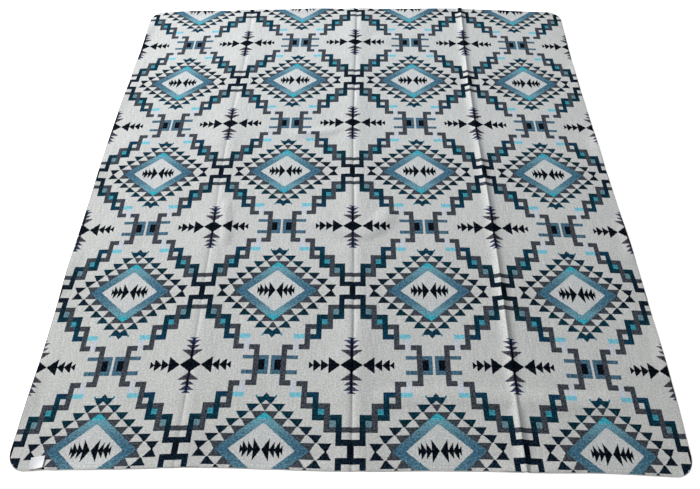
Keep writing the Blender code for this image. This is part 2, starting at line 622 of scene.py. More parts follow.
def feed(socket: bpy.types.NodeSocket, value: "Wire | bpy.types.NodeSocket | float | tuple") -> None:
    """Link a wire or a socket into a socket, or set a plain value on it.

    Args:
        socket: Input socket.
        value: Wire, output socket or plain value.
    """
    if isinstance(value, Wire):
        value = value.socket
    if isinstance(value, bpy.types.NodeSocket):
        socket.id_data.links.new(value, socket)
    else:
        socket.default_value = value


@dataclass(frozen=True)
class Speckle:
    """Fibre noise on a plane of the cloth, finer across than along."""

    across: float
    along: float
    detail: float = 2.0

    def on(self, across: Wire, along: Wire) -> Wire:
        """Noise from about 0 to 1 at places in metres.

        Args:
            across: Place across the fibres.
            along: Place along them.

        Returns:
            The noise.
        """
        nodes = across.socket.id_data.nodes
        place = nodes.new("ShaderNodeCombineXYZ")
        feed(place.inputs[0], across / self.across)
        feed(place.inputs[1], along / self.along)
        noise = nodes.new("ShaderNodeTexNoise")
        feed(noise.inputs["Vector"], place.outputs[0])
        feed(noise.inputs["Scale"], 1.0)
        feed(noise.inputs["Detail"], self.detail)
        return Wire(noise.outputs["Fac"])


@dataclass(frozen=True)
class YarnBands:
    """A yarn whose dye changes from row to row of the repeat.

    Each stop is a distance from the row of diamonds, in repeats, and the colour there. Between stops the
    colour either blends or jumps.
    """

    stops: tuple[tuple[float, Rgb], ...]
    jumps: bool = False

    def colour(self, from_diamond_row: Wire) -> bpy.types.NodeSocket:
        """Colour of the yarn in each row.

        Args:
            from_diamond_row: Distance from the row of diamonds, in repeats.

        Returns:
            Socket of the colour.
        """
        ramp = from_diamond_row.socket.id_data.nodes.new("ShaderNodeValToRGB")
        ramp.color_ramp.interpolation = "CONSTANT" if self.jumps else "LINEAR"
        elements = ramp.color_ramp.elements
        elements.remove(elements[1])
        elements[0].position = self.stops[0][0] * 2
        elements[0].color = (*self.stops[0][1], 1)
        for place, rgb in self.stops[1:]:
            elements.new(place * 2).color = (*rgb, 1)
        feed(ramp.inputs[0], from_diamond_row * 2.0)
        return ramp.outputs[0]


def plain_yarn(rgb: Rgb) -> YarnBands:
    """A yarn of one dye throughout."""
    return YarnBands(((0.0, rgb),))


@dataclass(frozen=True)
class Palette:
    """The yarns of one side of the double cloth."""

    ground: YarnBands
    middle: YarnBands
    dark: YarnBands
    grey: YarnBands
    frame: YarnBands
    arrows: YarnBands
    fir: YarnBands
    block: YarnBands
    dusty: YarnBands
    turquoise: YarnBands
    bar: YarnBands
    lavender: YarnBands


GROUND = seen(205, 206, 203)
DARK_BANDS = YarnBands((
    (0.00, seen(7, 14, 26)),
    (0.10, seen(11, 32, 48)),
    (0.15, seen(4, 42, 51)),
    (0.20, seen(7, 50, 66)),
    (0.26, seen(7, 47, 63)),
    (0.30, seen(9, 57, 77)),
    (0.33, seen(16, 54, 83)),
    (0.36, seen(18, 26, 48)),
    (0.50, seen(0, 4, 13)),
))
FRAME_BANDS = YarnBands((
    (0.00, seen(63, 103, 126)),
    (0.09, seen(86, 126, 143)),
    (0.13, seen(106, 151, 166)),
    (0.17, seen(104, 159, 174)),
    (0.178, seen(60, 170, 188)),
    (0.22, seen(56, 174, 192)),
))
FIR_BANDS = YarnBands((
    (0.32, seen(54, 64, 90)),
    (0.342, seen(66, 64, 92)),
    (0.3745, seen(62, 62, 80)),
    (0.4055, seen(70, 64, 74)),
    (0.45, seen(20, 22, 34)),
), jumps=True)
FACE_PALETTE = Palette(
    ground=plain_yarn(GROUND),
    middle=plain_yarn(seen(204, 206, 205)),
    dark=DARK_BANDS,
    grey=plain_yarn(seen(65, 69, 76)),
    frame=FRAME_BANDS,
    arrows=plain_yarn(seen(0, 6, 16)),
    fir=FIR_BANDS,
    block=plain_yarn(seen(72, 107, 127)),
    dusty=plain_yarn(seen(104, 138, 149)),
    turquoise=plain_yarn(seen(60, 149, 167)),
    bar=plain_yarn(seen(124, 198, 214)),
    lavender=plain_yarn(seen(202, 208, 221)),
)
REVERSE_PALETTE = Palette(
    ground=DARK_BANDS,
    middle=DARK_BANDS,
    dark=plain_yarn(GROUND),
    grey=plain_yarn(seen(176, 174, 172)),
    frame=plain_yarn(seen(196, 204, 206)),
    arrows=plain_yarn(GROUND),
    fir=plain_yarn(seen(190, 188, 190)),
    block=plain_yarn(seen(190, 198, 202)),
    dusty=plain_yarn(seen(190, 204, 206)),
    turquoise=plain_yarn(seen(180, 206, 208)),
    bar=plain_yarn(seen(172, 200, 208)),
    lavender=plain_yarn(seen(60, 62, 96)),
)


@dataclass(frozen=True)
class Box:
    """Woven rectangle, from low to high across and along."""

    across_low: float
    across_high: float
    along_low: float
    along_high: float

    def mask(self, across: Wire, along: Wire) -> Wire:
        """1 inside."""
        inside_across = across.between(self.across_low, self.across_high)
        return inside_across * along.between(self.along_low, self.along_high)


@dataclass(frozen=True)
class Tooth:
    """Woven triangle, with its point and its base counted along one direction from a motif's middle."""

    point: float
    base: float
    spread: float
    blunt: float = 0.004

    def mask(self, along: Wire, across: Wire) -> Wire:
        """1 inside: the place across is under the spread times the share of the way from point to base.

        The blunt tip adds a little to the place across all the way, and to the base.
        """
        share = (along - self.point) / (self.base - self.point)
        return (across < share * self.spread + self.blunt) * (along < self.base + self.blunt / 2)


def any_of(masks: list[Wire]) -> Wire:
    """Either of several masks.

    Args:
        masks: Masks, at least one.

    Returns:
        1 where any of them is.
    """
    total = masks[0]
    for mask in masks[1:]:
        total = total | mask
    return total


@dataclass(frozen=True)
class Diamond:
    """The diamond in its frame, with the arrows inside it and the rows of teeth round it."""

    inner: float = 0.192
    outer: float = 0.272
    slant: float = 1.288
    row_height: float = 0.0432
    row_step: float = 0.0556
    grey_start: float = 0.275
    grey_growth: float = 0.0300
    grey_rows: int = 5
    tip_growth: float = 0.0294
    dark_start: float = 0.363
    dark_inner_growth: float = 0.045
    dark_outer_growth: float = 0.0287
    dark_blunt: float = 0.0045
    dark_rows: int = 7
    tip: Tooth = Tooth(0.328, 0.3024, 0.0215)
    bright_corner: Box = Box(0.052, 0.064, 0.3010, 0.3140)
    arrow_line: Box = Box(0.012, 0.1045, 0.0, 0.0035)
    arrows: tuple[Tooth, ...] = (
        Tooth(0.0030, 0.045, 0.0575, 0.002),
        Tooth(0.0460, 0.0745, 0.0380, 0.003),
        Tooth(0.0755, 0.1045, 0.0395, 0.003),
        Tooth(0.1045, 0.1235, 0.0230, 0.003),
    )

    def reach(self, across: Wire, along: Wire) -> Wire:
        """Distance from the middle on slanted sides: across plus slant times along."""
        return across + along * self.slant

    def grey_teeth(self, across: Wire, along: Wire) -> Wire:
        """Grey teeth against the frame, one row after the other, each wider at its outer side.

        Args:
            across: Distance from the diamond's middle across, in repeats.
            along: The same along.

        Returns:
            The mask.
        """
        row = along / self.row_height
        share, number = row.fraction(), row.whole()
        limit = share * self.grey_growth - number * self.row_step + self.grey_start
        beside = (across < limit) * (number < self.grey_rows - 0.5) * (
            self.reach(across, along) > self.outer
        )
        over_tip = (across < share * self.tip_growth) * number.between(
            self.grey_rows - 0.5, self.grey_rows + 0.5
        )
        return beside | over_tip

    def dark_teeth(self, across: Wire, along: Wire) -> Wire:
        """Dark teeth outside the grey ones, which meet over the diamond's tip.

        Args:
            across: Distance from the diamond's middle across, in repeats.
            along: The same along.

        Returns:
            The mask.
        """
        row = along / self.row_height
        share, number = row.fraction(), row.whole()
        from_start = across + number * self.row_step - self.dark_start
        inside = (from_start < share * self.dark_outer_growth + self.dark_blunt) * (
            share * self.dark_inner_growth + from_start > -self.dark_blunt
        )
        return inside * (number < self.dark_rows - 0.5)

    def crown(self, across: Wire, along: Wire) -> Wire:
        """Small point over the middle of the last dark row."""
        share = (self.tip.point - along) / (self.tip.point - self.tip.base)
        return (across < share * self.tip.spread) * (along > self.tip.base)

    def arrow_pair(self, across: Wire, along: Wire) -> Wire:
        """Two rows of arrowheads that point at the middle of the diamond."""
        heads = [arrow.mask(across, along) for arrow in self.arrows]
        return any_of([*heads, self.arrow_line.mask(across, along)])


@dataclass(frozen=True)
class Chain:
    """Stepped chain of dark and grey links between the diamonds and the crosses.

    Upright bars step inwards and level bars step outwards. Dark and grey take turns.
    """

    upright_start: float = 0.4136
    upright_width: float = 0.0355
    upright_step: float = -0.0689
    level_start: float = 0.0308
    level_height: float = 0.0325
    level_step: float = 0.0676
    uprights: int = 4
    last_level: Box = Box(0.1745, 0.2424, 0.3680, 0.4005)
    fourth_level: Box = Box(0.2379, 0.3113, 0.3012, 0.3317)
    dusty_square: Box = Box(0.3747, 0.4150, 0.1270, 0.1677)
    turquoise_square: Box = Box(0.3063, 0.3470, 0.1947, 0.2353)
    turquoise_bar: Box = Box(0.1390, 0.2069, 0.2985, 0.3305)
    stem: Box = Box(0.4805, 0.5, 0.0, 0.0400)

    def upright(self, number: int) -> float:
        """Inner edge of an upright bar."""
        return self.upright_start + number * self.upright_step

    def level(self, number: int) -> float:
        """Lower edge of a level bar."""
        return self.level_start + number * self.level_step

    def level_bars(self, across: Wire, along: Wire, colour: int) -> Wire:
        """Level bars of one colour, 0 for dark and 1 for grey: one to each upright, and the last.

        Args:
            across: Distance from the diamond's middle across, in repeats.
            along: The same along.
            colour: 0 for dark and 1 for grey.

        Returns:
            The mask.
        """
        bars = []
        for number in range(colour, self.uprights, 2):
            low = self.upright(number)
            high = self.upright(number - 2) + self.upright_width if number > 1 else 0.5
            bottom = self.level(number)
            bars.append(Box(low, high, bottom, bottom + self.level_height).mask(across, along))
        last = self.fourth_level if colour == 0 else self.last_level
        bars.append(last.mask(across, along))
        return any_of(bars)

    def upright_bars(self, across: Wire, along: Wire, colour: int) -> Wire:
        """Upright bars of one colour, 0 for dark and 1 for grey, which pass over the level ones.

        Args:
            across: Distance from the diamond's middle across, in repeats.
            along: The same along.
            colour: 0 for dark and 1 for grey.

        Returns:
            The mask.
        """
        bars = []
        for number in range(colour, self.uprights, 2):
            low = self.upright(number)
            bottom = self.level(number)
            top = self.level(number + 2) + self.level_height
            bars.append(Box(low, low + self.upright_width, bottom, top).mask(across, along))
        return any_of(bars)


@dataclass(frozen=True)
class Bracket:
    """Grey bracket and blue block between two diamonds of a column."""

    grey_bar: Box = Box(0.0706, 0.1034, 0.3715, 0.5)
    grey_foot: Box = Box(0.0706, 0.1390, 0.3706, 0.4028)
    blue_block: Box = Box(0.0090, 0.0740, 0.4390, 0.5)
    blue_arm: Box = Box(0.1025, 0.1734, 0.4390, 0.4650)
    dark_heart: Box = Box(0.0300, 0.0740, 0.4665, 0.5)


@dataclass(frozen=True)
class Cross:
    """Cross of arrowheads and a fir between four diamonds."""

    heart_across: float = 0.069
    heart_along: float = 0.046
    stem_half: float = 0.0080
    arrows: tuple[Tooth, ...] = (
        Tooth(0.072, 0.137, 0.0480),
        Tooth(0.1410, 0.184, 0.0325),
        Tooth(0.1865, 0.229, 0.0340),
        Tooth(0.2320, 0.2565, 0.0215),
    )
    fir: tuple[Tooth, ...] = (
        Tooth(0.0495, 0.0945, 0.0645, 0.002),
        Tooth(0.0945, 0.1255, 0.0425, 0.002),
        Tooth(0.1255, 0.158, 0.0425, 0.002),
        Tooth(0.158, 0.177, 0.0275, 0.002),
    )

    def heart_and_arrows(self, across: Wire, along: Wire) -> Wire:
        """Diamond in the middle and a row of arrowheads to each side."""
        heart = (across / self.heart_across + along / self.heart_along) < 1.0
        return any_of([heart, *(arrow.mask(across, along) for arrow in self.arrows)])

    def branches(self, across: Wire, along: Wire) -> Wire:
        """Branches of a fir, away from the middle both ways."""
        return any_of([branch.mask(along, across) for branch in self.fir])

    def stem(self, across: Wire, along: Wire) -> Wire:
        """Stem of the fir, from the middle to its last branch."""
        return (across < self.stem_half) * (along < self.fir[-1].base)


@dataclass(frozen=True)
class Sway:
    """One way in which the woven rows don't run straight: a standing wave over the whole cloth."""

    half_waves_across: int
    half_waves_along: int
    amount: float

    def at(self, across: Array, along: Array) -> Array:
        """Displacement in metres: the amount times a cosine across times a cosine along.

        Args:
            across: Share of the way over the cloth, from left to right.
            along: Share of the way over the cloth, from near to far.

        Returns:
            Displacement.
        """
        wave_across = np.cos(np.pi * self.half_waves_across * across)
        return self.amount * wave_across * np.cos(np.pi * self.half_waves_along * along)


SWAY_ACROSS = (
    Sway(1, 2, 0.0039), Sway(1, 1, -0.0039), Sway(0, 3, -0.0029), Sway(5, 0, -0.0024),
    Sway(0, 2, 0.0026), Sway(1, 8, -0.0025), Sway(0, 0, 0.0012), Sway(0, 1, -0.0015),
)
SWAY_TO_NEAR_END = (
    Sway(0, 0, 0.0039), Sway(0, 2, 0.0049), Sway(0, 1, -0.0032), Sway(0, 3, -0.0018),
    Sway(0, 5, -0.0017), Sway(6, 0, -0.0010), Sway(4, 1, 0.0015), Sway(0, 7, -0.0010),
)


@dataclass(frozen=True)
class Chart:
    """The woven pattern of one repeat, mirrored both ways about a diamond's middle.

    Painting goes from the ground upwards, so a later motif covers an earlier one.
    """

    repeat_width: float = 0.52
    repeat_length: float = 0.57
    row_shift: float = 0.0342
    ends: int = 260
    picks: int = 300
    fray: float = 0.0011
    fray_noise: Speckle = Speckle(0.0012, 0.0012)
    diamond: Diamond = Diamond()
    chain: Chain = Chain()
    bracket: Bracket = Bracket()
    cross: Cross = Cross()
    lavender_from: float = 0.139
    lavender_to: float = 0.1745
    lavender_start: float = 0.330
    lavender_full: float = 0.345
    lavender_end: float = 0.430

    def places(self, lay: Lay, x: Array, y: Array) -> Array:
        """Repeats across and along, from a cross's column at the middle and a row of diamonds near it.

        The rows sway a little: each place takes the weave from where it would be without the sway. The
        pattern stays where it is as an edge strays, apart from the near edge, which it follows.

        Args:
            lay: The cloth.
            x: Cloth coordinates across.
            y: Cloth coordinates along.

        Returns:
            Repeats, with a last axis of two.
        """
        strayed_x, strayed_y = lay.strayed(x, y)
        x, y = strayed_x, np.where(y > 0, strayed_y, y)
        across = x / lay.width + 0.5
        along = y / lay.length + 0.5
        woven_x = x - sum(sway.at(across, along) for sway in SWAY_ACROSS)
        woven_y = y + sum(sway.at(across, along) for sway in SWAY_TO_NEAR_END)
        return np.stack(
            [woven_x / self.repeat_width, (woven_y - self.row_shift) / self.repeat_length], axis=-1
        )

    def folded(self, repeats: Wire, yarns: int, shift: float, jitter: Wire) -> Wire:
        """Distance from the motif's middle line, in repeats, in whole steps of a yarn.

        The place is moved by the fray, rounded to the middle of its yarn, and folded about the line.
        """
        stepped = ((repeats + jitter) * float(yarns)).whole() + 0.5
        return ((stepped / yarns + shift).fraction() - 0.5).size()

    def paint(self, repeats: tuple[Wire, Wire], metres: tuple[Wire, Wire], palette: Palette) -> "Paint":
        """Colour of the cloth from the palette's yarns.

        Args:
            repeats: Places in repeats, across and along.
            metres: Places inside one repeat in metres, across and along.
            palette: The yarns.

        Returns:
            The painted colour.
        """
        fray = (self.fray_noise.on(*metres) - 0.5) * (2 * self.fray)
        across = self.folded(repeats[0], self.ends, 0.0, fray / self.repeat_width)
        along = self.folded(repeats[1], self.picks, 0.5, fray / self.repeat_length)
        at, from_cross = (across, along), (0.5 - across, 0.5 - along)
        diamond, chain, bracket, cross = self.diamond, self.chain, self.bracket, self.cross
        reach = diamond.reach(*at)
        lavender = across.between(self.lavender_from, self.lavender_to) * (along > self.lavender_start)
        fading = (self.lavender_end - along) / (self.lavender_end - self.lavender_full)
        lavender = lavender * fading.math("MINIMUM", 1.0)
        paint = Paint(palette.ground.colour(along), along)
        for mask, yarn in (
            (lavender.math("MAXIMUM", 0.0), palette.lavender),
            (diamond.grey_teeth(*at), palette.grey),
            (diamond.dark_teeth(*at), palette.dark),
            (diamond.crown(*at), palette.dark),
            (diamond.bright_corner.mask(*at), palette.turquoise),
            (reach < diamond.outer, palette.frame),
            (reach < diamond.inner, palette.middle),
            (diamond.arrow_pair(*at), palette.arrows),
            (chain.dusty_square.mask(*at), palette.dusty),
            (chain.turquoise_square.mask(*at), palette.turquoise),
            (chain.turquoise_bar.mask(*at), palette.bar),
            (chain.level_bars(*at, 1), palette.grey),
            (chain.level_bars(*at, 0), palette.dark),
            (chain.upright_bars(*at, 0), palette.dark),
            (chain.upright_bars(*at, 1), palette.grey),
            (chain.stem.mask(*at), palette.dark),
            (bracket.blue_block.mask(*at), palette.block),
            (bracket.blue_arm.mask(*at), palette.block),
            (bracket.dark_heart.mask(*at), palette.dark),
            (bracket.grey_bar.mask(*at), palette.grey),
            (bracket.grey_foot.mask(*at), palette.grey),
            (cross.branches(*from_cross), palette.fir),
            (cross.stem(*from_cross), palette.dark),
            (cross.heart_and_arrows(*from_cross), palette.dark),
        ):
            paint.over(mask, yarn)
        return paint


class Paint:
    """Colour that is built up mask by mask, with the share of it that is a coloured motif."""

    def __init__(self, start: bpy.types.NodeSocket, row: Wire) -> None:
        """Start from the ground's colour.

        Args:
            start: Socket of the colour.
            row: Distance from the row of diamonds, for banded yarns.
        """
        self.colour = start
        self.row = row
        self.tree = start.id_data

    @classmethod
    def plain(cls, row: Wire, rgb: Rgb) -> "Paint":
        """Start from one dye.

        Args:
            row: A number of the same shader.
            rgb: The dye.

        Returns:
            The paint.
        """
        base = row.socket.id_data.nodes.new("ShaderNodeRGB")
        base.outputs[0].default_value = (*rgb, 1)
        return cls(base.outputs[0], row)

    def mixed(self, mode: str, factor: "Wire | float", other: "bpy.types.NodeSocket | tuple") -> None:
        """Mix another colour into this one.

        Args:
            mode: How they mix.
            factor: Share of the other colour.
            other: The other colour.
        """
        node = self.tree.nodes.new("ShaderNodeMix")
        node.data_type = "RGBA"
        node.blend_type = mode
        factor_socket, first, second = (node.inputs[i] for i in (0, 6, 7))
        feed(factor_socket, factor)
        feed(first, self.colour)
        feed(second, other)
        self.colour = node.outputs[2]

    def over(self, mask: Wire, yarn: YarnBands) -> None:
        """Lay a yarn over the places of a mask."""
        self.mixed("MIX", mask, yarn.colour(self.row))

    def brightness(self) -> Wire:
        """Brightness of the colour so far.

        Returns:
            Brightness from 0 to 1.
        """
        grey = self.tree.nodes.new("ShaderNodeRGBToBW")
        feed(grey.inputs[0], self.colour)
        return Wire(grey.outputs[0])

    def shaded(self, brightness: Wire) -> None:
        """Multiply the colour by a brightness, which is never under 0.

        Args:
            brightness: Factor, 1 for no change.
        """
        grey = self.tree.nodes.new("ShaderNodeCombineColor")
        for socket in grey.inputs:
            feed(socket, brightness.math("MAXIMUM", 0.0))
        self.mixed("MULTIPLY", 1.0, grey.outputs[0])


def new_material(name: str) -> tuple[bpy.types.Material, bpy.types.Node]:
    """Empty material and its Principled shader.

    Args:
        name: Name of the material.

    Returns:
        The material and its shader node.
    """
    material = bpy.data.materials.new(name)
    material.use_nodes = True
    return material, material.node_tree.nodes["Principled BSDF"]


def map_places(tree: bpy.types.NodeTree, map_name: str) -> tuple[Wire, Wire]:
    """The two numbers of a texture map.

    Args:
        tree: Node tree of a material.
        map_name: Name of the texture map.

    Returns:
        The places across and along.
    """
    source = tree.nodes.new("ShaderNodeUVMap")
    source.uv_map = map_name
    split = tree.nodes.new("ShaderNodeSeparateXYZ")
    feed(split.inputs[0], source.outputs[0])
    return Wire(split.outputs[0]), Wire(split.outputs[1])


def surfaced(shader: bpy.types.Node, paint: Paint, roughness: float, specular: float, sheen: float) -> None:
    """Give a shader its colour, roughness, specular level and sheen.

    Args:
        shader: Principled shader.
        paint: Its colour.
        roughness: From 0, glossy, to 1, matt.
        specular: Specular level, 0.5 for a plain gloss.
        sheen: Weight of the veil of fibres.
    """
    feed(shader.inputs["Base Color"], paint.colour)
    feed(shader.inputs["Roughness"], roughness)
    feed(shader.inputs["Specular IOR Level"], specular)
    feed(shader.inputs["Sheen Weight"], sheen)


def bumped(shader: bpy.types.Node, height: Wire, depth: float) -> None:
    """Give a shader the relief of a height from 0 to 1.

    Args:
        shader: Principled shader.
        height: Height of the relief.
        depth: Depth in metres.
    """
    bump = shader.id_data.nodes.new("ShaderNodeBump")
    feed(bump.inputs["Strength"], 1.0)
    feed(bump.inputs["Distance"], depth)
    feed(bump.inputs["Height"], height)
    feed(shader.inputs["Normal"], bump.outputs[0])


@dataclass(frozen=True)
class BrushedWool:
    """Soft brushed wool, woven from the chart: matt, with a fine nap and a heathered dye."""

    name: str
    palette: Palette
    chart: Chart = Chart()
    hair: Rgb = seen(150, 178, 200)
    roughness: float = 0.95
    specular: float = 0.02
    sheen: float = 0.01
    sheen_roughness: float = 0.5
    relief: float = 0.00035
    streak: float = 0.42
    ground_fleck: float = 0.95
    dyed_fleck: float = 4.20
    pale_hairs: float = 0.26
    ground_brightness: float = 0.60
    cloud: float = 0.12
    weave_depth: float = 0.25
    streaks: Speckle = Speckle(0.0040, 0.060, 3.0)
    flecks: Speckle = Speckle(0.0060, 0.0052, 3.0)
    clouds: Speckle = Speckle(0.045, 0.060)
    nap: Speckle = Speckle(0.0006, 0.0018, 3.0)

    def material(self) -> bpy.types.Material:
        """Build the finish: the chart's colours, streaks of fibre, and a weave under the nap.

        Returns:
            The material.
        """
        material, shader = new_material(self.name)
        repeats = map_places(material.node_tree, WEAVE_MAP)
        metres = (
            repeats[0].fraction() * self.chart.repeat_width,
            repeats[1].fraction() * self.chart.repeat_length,
        )
        paint = self.chart.paint(repeats, metres, self.palette)
        lengthwise = self.streaks.on(*metres)
        fleck = self.flecks.on(*metres)
        cloud = self.clouds.on(*metres)
        dyed = (self.ground_brightness - paint.brightness()) / self.ground_brightness
        amount = dyed.math("MAXIMUM", 0.0) * (self.dyed_fleck - self.ground_fleck) + self.ground_fleck
        paint.shaded(
            (lengthwise - 0.5) * self.streak
            + (fleck - 0.5) * amount
            + (cloud - 0.5) * self.cloud
            + 1.0
        )
        paint.mixed("ADD", (fleck - 0.5).math("MAXIMUM", 0.0) * self.pale_hairs, (*self.hair, 1.0))
        over_under = (repeats[0] * (np.pi * self.chart.ends)).sine()
        over_under = over_under * (repeats[1] * (np.pi * self.chart.picks)).sine()
        bumped(shader, over_under * self.weave_depth + self.nap.on(*metres), self.relief)
        surfaced(shader, paint, self.roughness, self.specular, self.sheen)
        feed(shader.inputs["Sheen Roughness"], self.sheen_roughness)
        return material


@dataclass(frozen=True)
class EdgeThread:
    """Matt spun thread of the overlocked edge, with painted light on its turns and painted shade in
    between.
    """

    name: str = "overlock thread"
    colour: Rgb = seen(228, 226, 222)
    # Share of the colour taken off by the painted shade between turns.
    painted_groove_shade: float = 0.30
    roughness: float = 0.85
    specular: float = 0.2
    sheen: float = 0.2
    relief: float = 0.0002
    strands: float = 3.0
    round_strands: float = 9.0
    # Faint painted shade along the twist.
    twist_shade: float = 0.04

    def material(self) -> bpy.types.Material:
        """Build the finish: painted light on turns, painted shade between, the thread's twist as relief.

        Returns:
            The material.
        """
        material, shader = new_material(self.name)
        stitch, round_edge = map_places(material.node_tree, WEAVE_MAP)
        ridge = (stitch * (2 * np.pi) - np.pi / 2).sine() * 0.5 + 0.5
        twist = ((stitch * self.strands + round_edge * self.round_strands) * (2 * np.pi)).sine()
        paint = Paint.plain(ridge, self.colour)
        # Painted light and shade: brighter on each turn of thread, darker between turns, and a faint
        # painted shade along the twist.
        paint.shaded(ridge * self.painted_groove_shade + (1 - self.painted_groove_shade) + twist * self.twist_shade)
        bumped(shader, twist * 0.5 + 0.5, self.relief)
        surfaced(shader, paint, self.roughness, self.specular, self.sheen)
        return material


@dataclass(frozen=True)
class LabelSatin:
    """White woven label tape: close twill lines and a faint lustre."""

    name: str = "label tape"
    colour: Rgb = seen(238, 238, 241)
    roughness: float = 0.55
    specular: float = 0.35
    sheen: float = 0.15
    relief: float = 0.00008
    lines: float = 70.0
    slant: float = 0.7
    # Depth of the painted shade between twill lines.
    shade: float = 0.05

    def material(self) -> bpy.types.Material:
        """Build the finish: slanting twill lines, with painted shade a little darker between.

        Returns:
            The material.
        """
        material, shader = new_material(self.name)
        across, along = map_places(material.node_tree, WEAVE_MAP)
        twill = ((across + along * self.slant) * (2 * np.pi * self.lines)).sine()
        paint = Paint.plain(twill, self.colour)
        # Painted shade: darker in the low lines of the twill, where its bump is lowest.
        paint.shaded(twill * self.shade + (1 - self.shade))
        bumped(shader, twill * 0.5 + 0.5, self.relief)
        surfaced(shader, paint, self.roughness, self.specular, self.sheen)
        return material


@dataclass
class WovenPanel:
    """The double cloth: its patterned face and its reverse, each an open surface on the solid's folds."""

    lay: Lay
    chart: Chart = Chart()
    face_pitch: float = 0.0088
    reverse_pitch: float = 0.012
    fold_pitch: float = 0.0025
    fold_band: float = 0.012
    density_samples: int = 20001
    corner_steps: int = 12
    hem_steps: tuple[float, ...] = (0.003, 0.006, 0.012)
    pinch: float = 0.0004
    pinch_band: float = 0.006

    def lines(self, half: float, pitch: float, folds: list[float]) -> Array:
        """Places of the mesh's lines from -half to half, closer at the folds.

        The number of lines up to a place grows by 1 / pitch for each metre, and by more on a bell
        round each fold. The places where it is whole are the lines.

        Args:
            half: Half the length that the lines cover.
            pitch: Distance between lines away from folds.
            folds: Places of the folds.

        Returns:
            Places in rising order.
        """
        fine = np.linspace(-half, half, self.density_samples)
        density = np.full_like(fine, 1 / pitch)
        for fold in folds:
            density = density + (1 / self.fold_pitch) * np.exp(-(((fine - fold) / self.fold_band) ** 2))
        count = np.concatenate(([0], np.cumsum((density[1:] + density[:-1]) / 2 * np.diff(fine))))
        return np.interp(np.linspace(0, count[-1], int(count[-1]) + 1), count, fine)

    def grid(self, pitch: float) -> tuple[Array, Array]:
        """Cloth coordinates of a mesh, with extra lines for the hem and the round corners.

        Args:
            pitch: Distance between lines away from folds.

        Returns:
            Cloth coordinates of the grid.
        """
        lay = self.lay
        folds = [crease.place for crease in lay.creases if crease.runs is Runs.LENGTHWISE]
        hem = np.array(self.hem_steps)
        inner = self.lines(lay.half_width - 2 * hem[-1], pitch, folds)
        columns = np.concatenate((-lay.half_width + np.array([0, *hem]), inner, lay.half_width - hem[::-1]))
        columns = np.append(columns, lay.half_width)
        angles = np.linspace(0, np.pi / 2, self.corner_steps + 1)[:-1]
        corner = lay.half_length - lay.corner_radius * (1 - np.sin(angles))
        core = self.lines(lay.half_length - lay.corner_radius, pitch, [])[1:-1]
        rows = np.concatenate(([-lay.half_length], -corner[::-1], core, corner, [lay.half_length]))
        return lay.with_round_corners(*np.meshgrid(columns, rows))

    def side(self, pitch: float, rise: float, pinch: float, facing_down: bool) -> Surface:
        """One side of the cloth: its underside raised by the rise, and pinched at the edge.

        Args:
            pitch: Distance between lines away from folds.
            rise: Height over the underside.
            pinch: Change of height at the very edge.
            facing_down: Whether its faces point down.

        Returns:
            The surface.
        """
        x, y = self.grid(pitch)
        squeezed = pinch * ease(1 - self.lay.inset(x, y) / self.pinch_band)
        height = self.lay.underside(x, y) + rise + squeezed
        places = self.chart.places(self.lay, x, y)
        return Surface(self.lay.on_floor(x, y, height), places, places, facing_down=facing_down)

    def build(self) -> tuple[bpy.types.Object, bpy.types.Object]:
        """Make the face and the reverse.

        Returns:
            The face and the reverse.
        """
        face = self.side(self.face_pitch, self.lay.thickness, -self.pinch, facing_down=False)
        reverse = self.side(self.reverse_pitch, 0.0, self.pinch, facing_down=True)
        return (
            face.build("woven_face", BrushedWool("brushed wool face", FACE_PALETTE).material()),
            reverse.build("woven_reverse", BrushedWool("brushed wool reverse", REVERSE_PALETTE).material()),
        )


@dataclass
class EdgeOverlock:
    """Overlock stitching that wraps the raw edge all round, one slanting turn of thread after another."""

    lay: Lay
    stitch_pitch: float = 0.0045
    samples: int = 5
    round_steps: int = 8
    cover: float = 0.0015
    stand_out: float = 0.0006
    half_height: float = 0.00175
    middle_height: float = 0.00155
    squareness: float = 0.6
    thread: float = 0.00045
    thread_fade: float = 0.35
    slant: float = 0.8
    stitches_to_bake: int = 16

    def build(self) -> bpy.types.Object:
        """Make the edge: a flat C-shaped profile carried along the edge, with a ridge for each turn.

        Round the profile an angle goes from straight up to straight down. The place outwards is its
        cosine and the height its sine, both raised to a power below 1, which flattens the C. A cosine
        wave along the edge, which lags with the angle, adds the thread.

        Returns:
            The edge as one closed ring.
        """
        path = EdgePath(self.lay)
        stitches = int(round(path.length / self.stitch_pitch))
        columns = stitches * self.samples
        stitch = np.arange(columns + 1) / self.samples
        share = np.linspace(0, 1, self.round_steps + 1)
        stitch, share = np.meshgrid(stitch, share)
        angle = np.pi * (0.5 - share)
        shape_out = np.abs(np.cos(angle)) ** self.squareness
        shape_up = np.sign(np.sin(angle)) * np.abs(np.sin(angle)) ** self.squareness
        wave = 0.5 + 0.5 * np.cos(2 * np.pi * (stitch + self.slant * share))
        ridge = self.thread * np.sqrt(wave) * np.sin(np.pi * share) ** self.thread_fade
        outwards = (self.cover + self.stand_out) * shape_out - self.cover + ridge * np.cos(angle)
        x, y = path.places(stitch * path.length / stitches, outwards)
        on_cloth = path.places(stitch * path.length / stitches, np.minimum(outwards, 0))
        height = self.middle_height + self.half_height * shape_up + ridge * np.sin(angle)
        points = self.lay.on_floor(x, y, self.lay.underside(*on_cloth) + height)[:, :-1]
        weave = np.stack([stitch + self.slant * share, share], axis=-1)
        bake = np.stack([stitch / self.stitches_to_bake, share], axis=-1)
        ring = Surface(points, weave, bake, closed=True)
        return ring.build("edge_overlock", EdgeThread().material())


